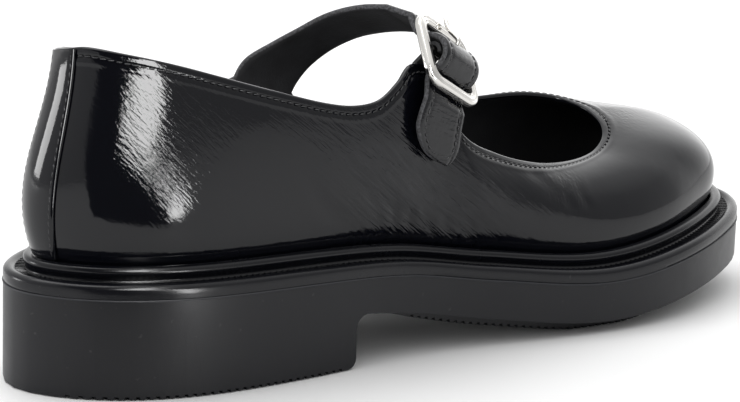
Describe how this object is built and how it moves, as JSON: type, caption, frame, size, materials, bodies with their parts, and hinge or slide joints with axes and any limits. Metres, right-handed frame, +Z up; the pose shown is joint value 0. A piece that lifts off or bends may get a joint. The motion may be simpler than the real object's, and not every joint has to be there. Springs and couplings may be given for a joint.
{
  "type": "mary jane shoe",
  "caption": "Right mary jane shoe, EU 38.5: hollow patent upper, instep strap with bar buckle, welt, and block-heeled sole.",
  "frame": {"origin": "centre of the bounding box in plan, at the floor under the sole", "axes": "+X to the toe, +Y to the inner side of the foot, +Z up"},
  "size_m": [0.27, 0.0948, 0.1027],
  "materials": {
    "sole_rubber": "satin black",
    "welt_rubber": "satin black",
    "insole_leather": "matte black",
    "upper_patent": "patent gloss black",
    "backstay_patent": "patent gloss black",
    "strap_patent": "patent gloss black",
    "tab_leather": "matte black",
    "buckle_metal": "polished nickel",
    "prong_metal": "polished nickel"
  },
  "bodies": {
    "root": {"outsole": "sole_rubber", "welt": "welt_rubber", "insole": "insole_leather", "upper": "upper_patent", "backstay": "backstay_patent", "strap": "strap_patent", "buckle_tab": "tab_leather", "buckle": "buckle_metal", "buckle_prong": "prong_metal"}
  },
  "joints": []
}
